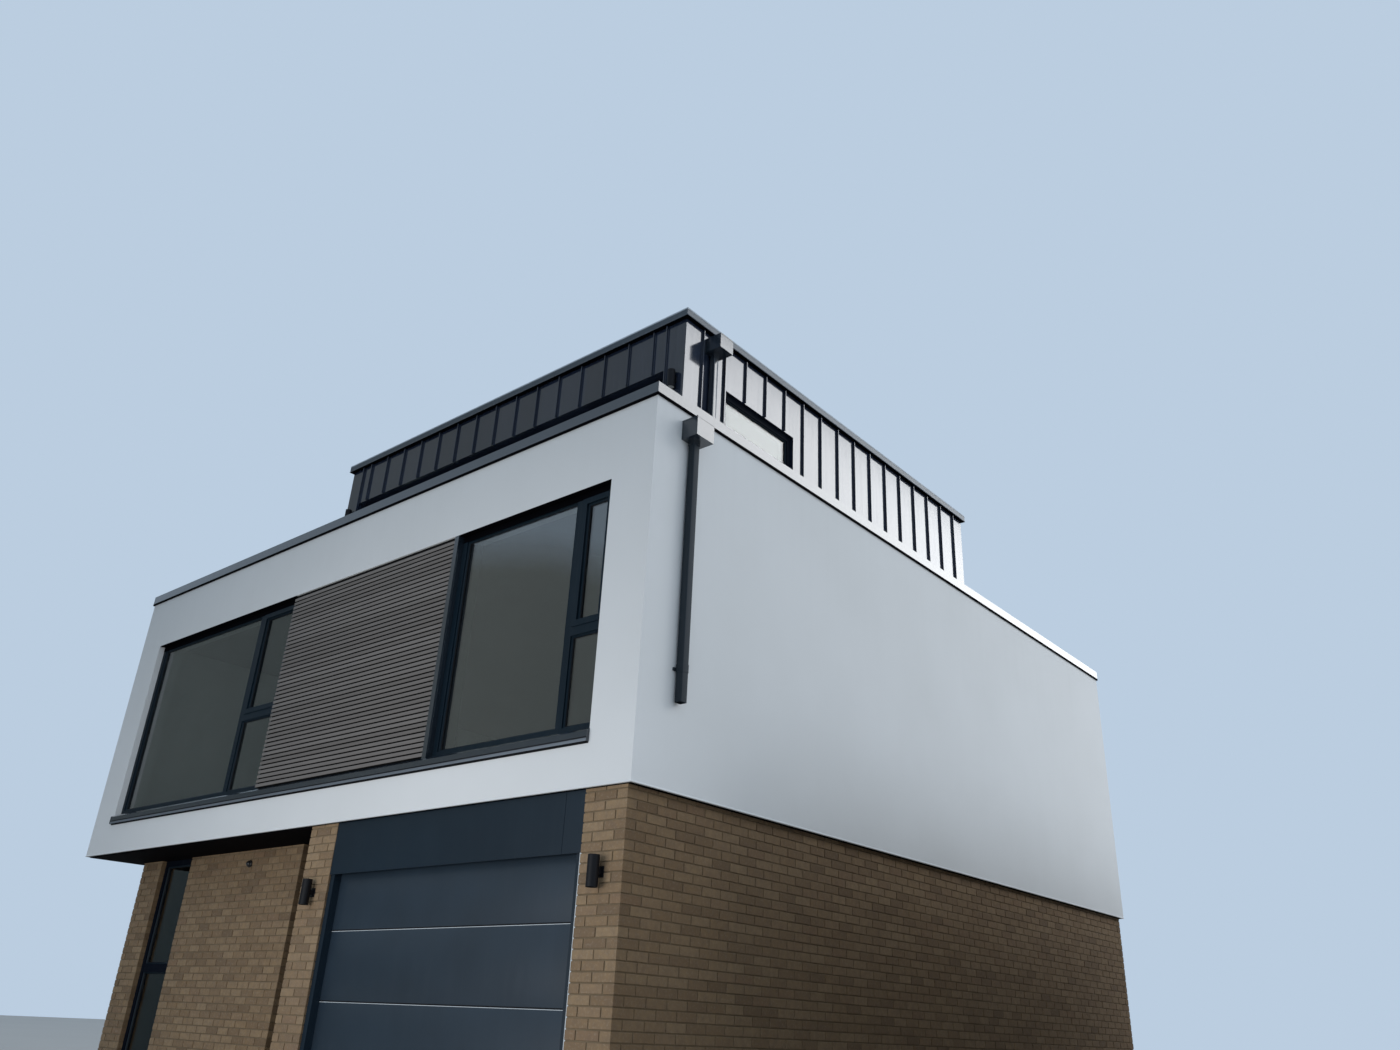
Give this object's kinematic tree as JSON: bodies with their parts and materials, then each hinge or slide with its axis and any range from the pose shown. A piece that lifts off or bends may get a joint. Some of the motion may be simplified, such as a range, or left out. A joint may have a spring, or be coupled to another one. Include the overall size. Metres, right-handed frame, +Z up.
{
  "type": "detached house",
  "caption": "Modern detached house with a brick ground storey and garage, an overhanging white rendered first floor with a window band, and a metal-clad penthouse set back on the roof terrace",
  "frame": {"origin": "middle of the footprint's outer box, capping, sills, lights and hopper included, at ground level", "axes": "+X to the house's right as seen from its front, +Y from front to rear, +Z up; the front faces -Y"},
  "size_m": [9.586, 9.9589, 8.67],
  "materials": {
    "brickwork": "matt",
    "concrete": "matt",
    "roof_membrane": "matt",
    "white_render": "matt",
    "anthracite_metal": "satin",
    "seam_cladding": "satin",
    "window_frame": "satin",
    "garage_panel": "satin",
    "pale_strip": "satin",
    "soffit_board": "satin",
    "composite_board": "matt",
    "black_metal": "satin",
    "black_plastic": "matt",
    "glazing": "polished"
  },
  "bodies": {
    "root": {"ground_slab": "concrete", "brick_right_pier": "brickwork", "brick_middle_pier": "brickwork", "brick_left_pier": "brickwork", "brick_recess_wall": "brickwork", "brick_right_wall": "brickwork", "brick_left_wall": "brickwork", "brick_rear_wall": "brickwork", "garage_lintel": "concrete", "garage_fascia": "anthracite_metal", "garage_frame": "anthracite_metal", "garage_door": "garage_panel", "garage_edge_strip": "pale_strip", "entrance_frame": "window_frame", "entrance_door": "garage_panel", "tall_window_frame": "window_frame", "tall_window_glass": "glazing", "soffit": "soffit_board", "first_floor": "concrete", "front_wall": "white_render", "right_wall": "white_render", "left_wall": "white_render", "rear_wall": "white_render", "slatted_panels": "composite_board", "panel_backings": "anthracite_metal", "window_sills": "anthracite_metal", "left_window_frame": "window_frame", "right_window_frame": "window_frame", "window_sashes": "window_frame", "front_window_glass": "glazing", "main_capping": "anthracite_metal", "roof_deck": "roof_membrane", "penthouse_front_wall": "seam_cladding", "penthouse_right_wall": "seam_cladding", "penthouse_left_wall": "seam_cladding", "penthouse_rear_wall": "seam_cladding", "penthouse_roof": "roof_membrane", "penthouse_coping": "anthracite_metal", "penthouse_frames": "window_frame", "penthouse_glass": "glazing", "rain_hoppers": "anthracite_metal", "downpipes": "anthracite_metal", "wall_lights": "black_metal", "dome_light": "black_plastic", "rear_frames": "window_frame", "rear_glass": "glazing"}
  },
  "joints": []
}
